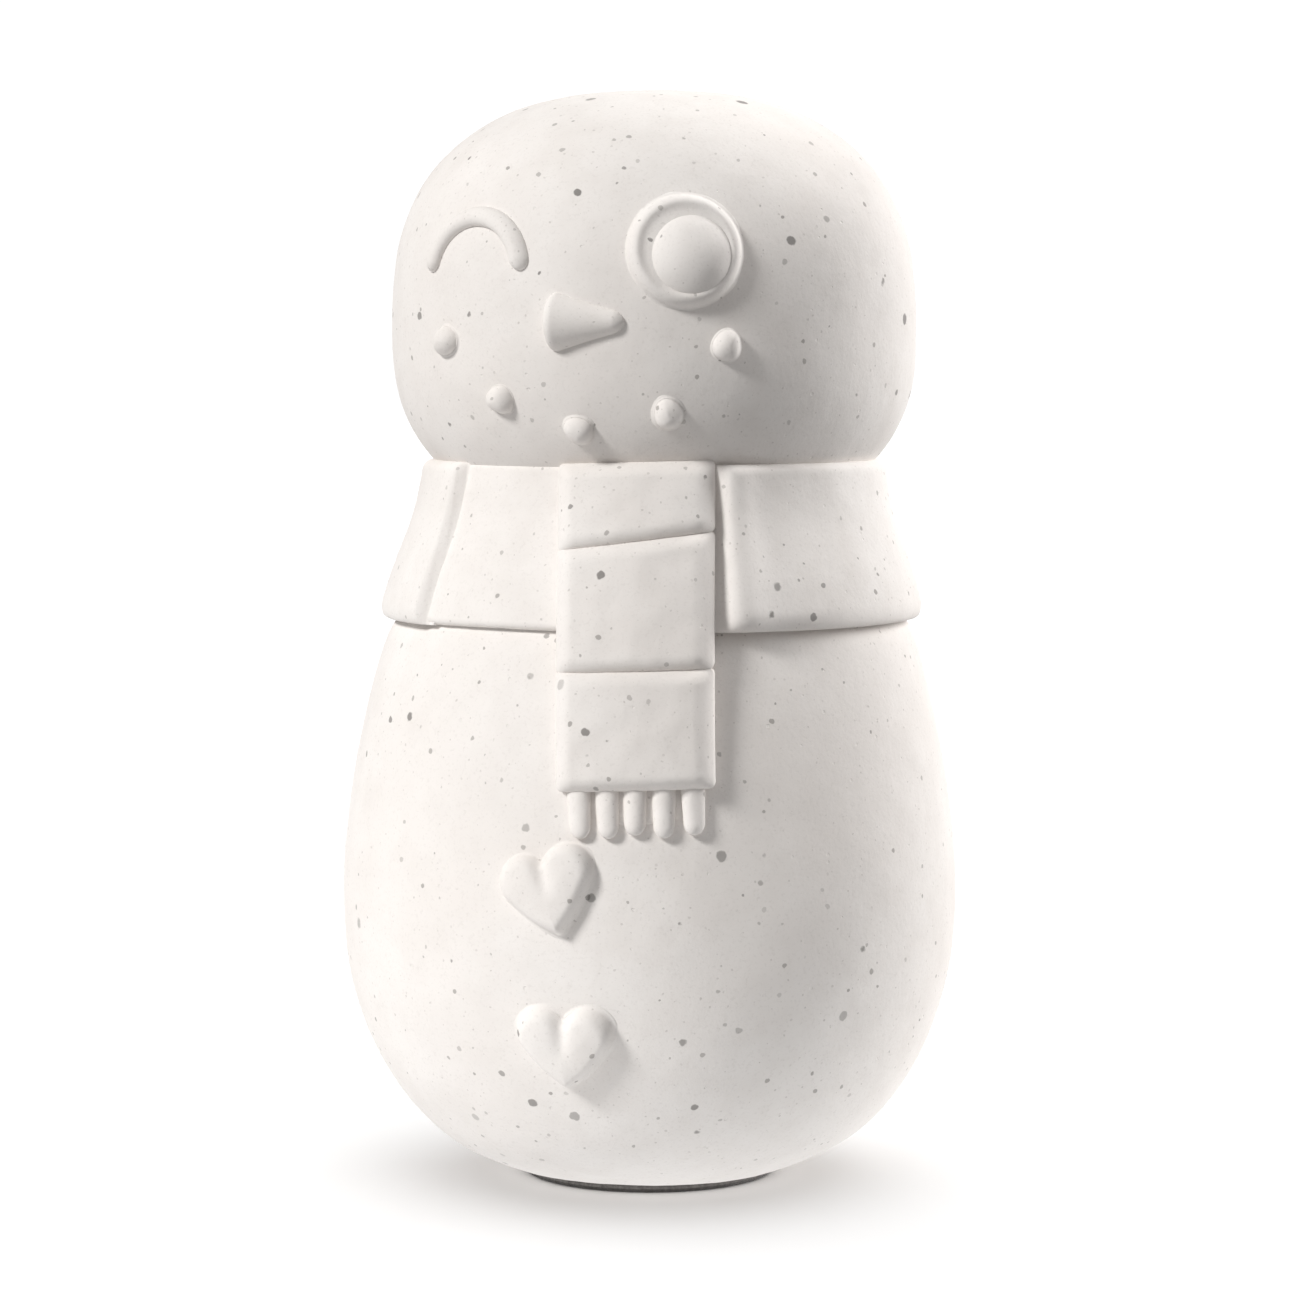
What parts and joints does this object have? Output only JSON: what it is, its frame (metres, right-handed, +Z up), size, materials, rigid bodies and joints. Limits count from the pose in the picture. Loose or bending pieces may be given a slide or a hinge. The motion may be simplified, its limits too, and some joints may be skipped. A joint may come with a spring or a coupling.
{
  "type": "snowman figure",
  "caption": "Rounded snowman shelf figure with a flared scarf, hanging scarf end, applied face and heart-shaped buttons, standing on a small flat foot.",
  "frame": {"origin": "centre of the flat face that the figure stands on", "axes": "+Z up along the turned axis, -Y towards the front of the figure, +X towards a viewer's right"},
  "size_m": [0.0796, 0.0821, 0.14],
  "materials": {
    "speckled_coat": "matte",
    "birch": "matte",
    "felt": "matte"
  },
  "bodies": {
    "root": {"body": "speckled_coat", "head": "speckled_coat", "neck_dowel": "birch", "base_pad": "felt", "scarf_collar": "speckled_coat", "scarf_wrap": "speckled_coat", "scarf_knot": "speckled_coat", "scarf_tail_upper": "speckled_coat", "scarf_tail_lower": "speckled_coat", "scarf_fringe": "speckled_coat", "tail_pins": "birch", "nose": "speckled_coat", "wink_eye": "speckled_coat", "open_eye_disc": "speckled_coat", "open_eye_pupil": "speckled_coat", "heart_button_upper": "speckled_coat", "heart_button_lower": "speckled_coat", "heart_pins": "birch", "mouth_coal_1": "speckled_coat", "mouth_coal_2": "speckled_coat", "mouth_coal_3": "speckled_coat", "mouth_coal_4": "speckled_coat", "mouth_coal_5": "speckled_coat"}
  },
  "joints": []
}
